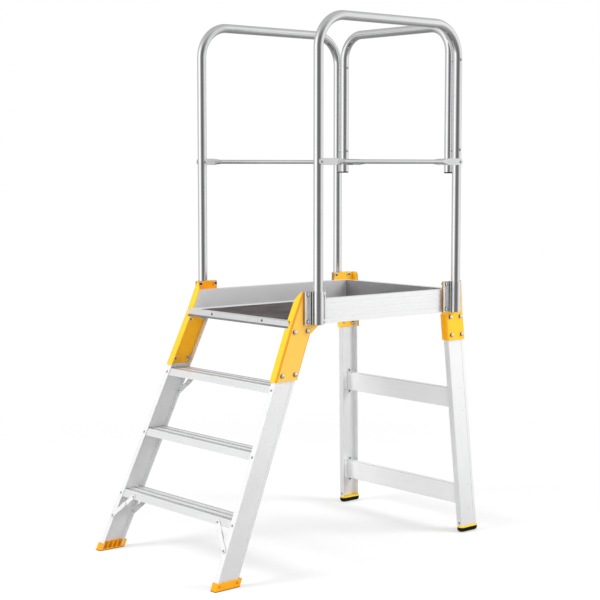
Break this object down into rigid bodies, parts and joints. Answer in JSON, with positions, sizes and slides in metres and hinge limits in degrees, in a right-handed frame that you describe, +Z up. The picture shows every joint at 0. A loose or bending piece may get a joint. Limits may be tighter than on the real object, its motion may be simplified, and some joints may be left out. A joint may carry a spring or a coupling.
{
  "type": "access platform",
  "caption": "Free-standing access platform: raked ladder with ribbed treads, railed deck with toe boards, splayed rear leg frame and bent tube guardrails.",
  "frame": {"origin": "centre of the object's footprint on the floor", "axes": "+Z up, +X to the right of a person about to climb, +Y from the ladder towards the rear legs"},
  "size_m": [0.7478, 1.3396, 2.01],
  "materials": {
    "satin_extrusion": "satin extruded aluminium",
    "bright_tube": "brushed bright aluminium tube",
    "yellow_paint": "semi-gloss yellow powder coat on steel sheet",
    "yellow_plastic": "moulded yellow plastic",
    "deck_board": "dark film-faced anti-slip plywood",
    "rubber_foot": "black rubber",
    "black_plastic": "black plastic plug",
    "plated_fastener": "zinc-plated steel"
  },
  "bodies": {
    "root": {"brace_front_left": "satin_extrusion", "brace_front_right": "satin_extrusion", "brace_rear_left": "satin_extrusion", "brace_rear_right": "satin_extrusion", "brace_rivets": "plated_fastener", "brace_upper_left": "satin_extrusion", "brace_upper_right": "satin_extrusion", "clamp_packer_front_left": "yellow_paint", "clamp_packer_front_right": "yellow_paint", "clamp_packer_rear_left": "yellow_paint", "clamp_packer_rear_right": "yellow_paint", "crossbar_lower": "satin_extrusion", "crossbar_rivets": "plated_fastener", "crossbar_upper": "satin_extrusion", "deck_nosing": "satin_extrusion", "deck_panel": "deck_board", "deck_screws": "plated_fastener", "foot_collar_left": "yellow_plastic", "foot_collar_right": "yellow_plastic", "foot_rivets": "plated_fastener", "frame_bolts": "plated_fastener", "frame_nuts": "plated_fastener", "front_bracket_left": "yellow_paint", "front_bracket_right": "yellow_paint", "front_foot_left": "yellow_plastic", "front_foot_right": "yellow_plastic", "guardrail_left": "bright_tube", "guardrail_rear": "bright_tube", "guardrail_right": "bright_tube", "leg_backing_left": "yellow_paint", "leg_backing_right": "yellow_paint", "midrail_left": "bright_tube", "midrail_rear": "bright_tube", "midrail_right": "bright_tube", "midrail_rivets": "plated_fastener", "rail_clamp_front_left": "satin_extrusion", "rail_clamp_front_right": "satin_extrusion", "rail_clamp_rear_left": "satin_extrusion", "rail_clamp_rear_right": "satin_extrusion", "rail_end_caps": "black_plastic", "rail_joint_bolts": "plated_fastener", "rail_spacers": "plated_fastener", "rear_board": "satin_extrusion", "rear_bracket_left": "yellow_paint", "rear_bracket_right": "yellow_paint", "rear_foot_left": "rubber_foot", "rear_foot_right": "rubber_foot", "rear_leg_left": "satin_extrusion", "rear_leg_right": "satin_extrusion", "side_board_left": "satin_extrusion", "side_board_right": "satin_extrusion", "stile_backing_left": "yellow_paint", "stile_backing_right": "yellow_paint", "stile_left": "satin_extrusion", "stile_right": "satin_extrusion", "tread_lower": "satin_extrusion", "tread_middle": "satin_extrusion", "tread_rivets": "plated_fastener", "tread_upper": "satin_extrusion"}
  },
  "joints": []
}
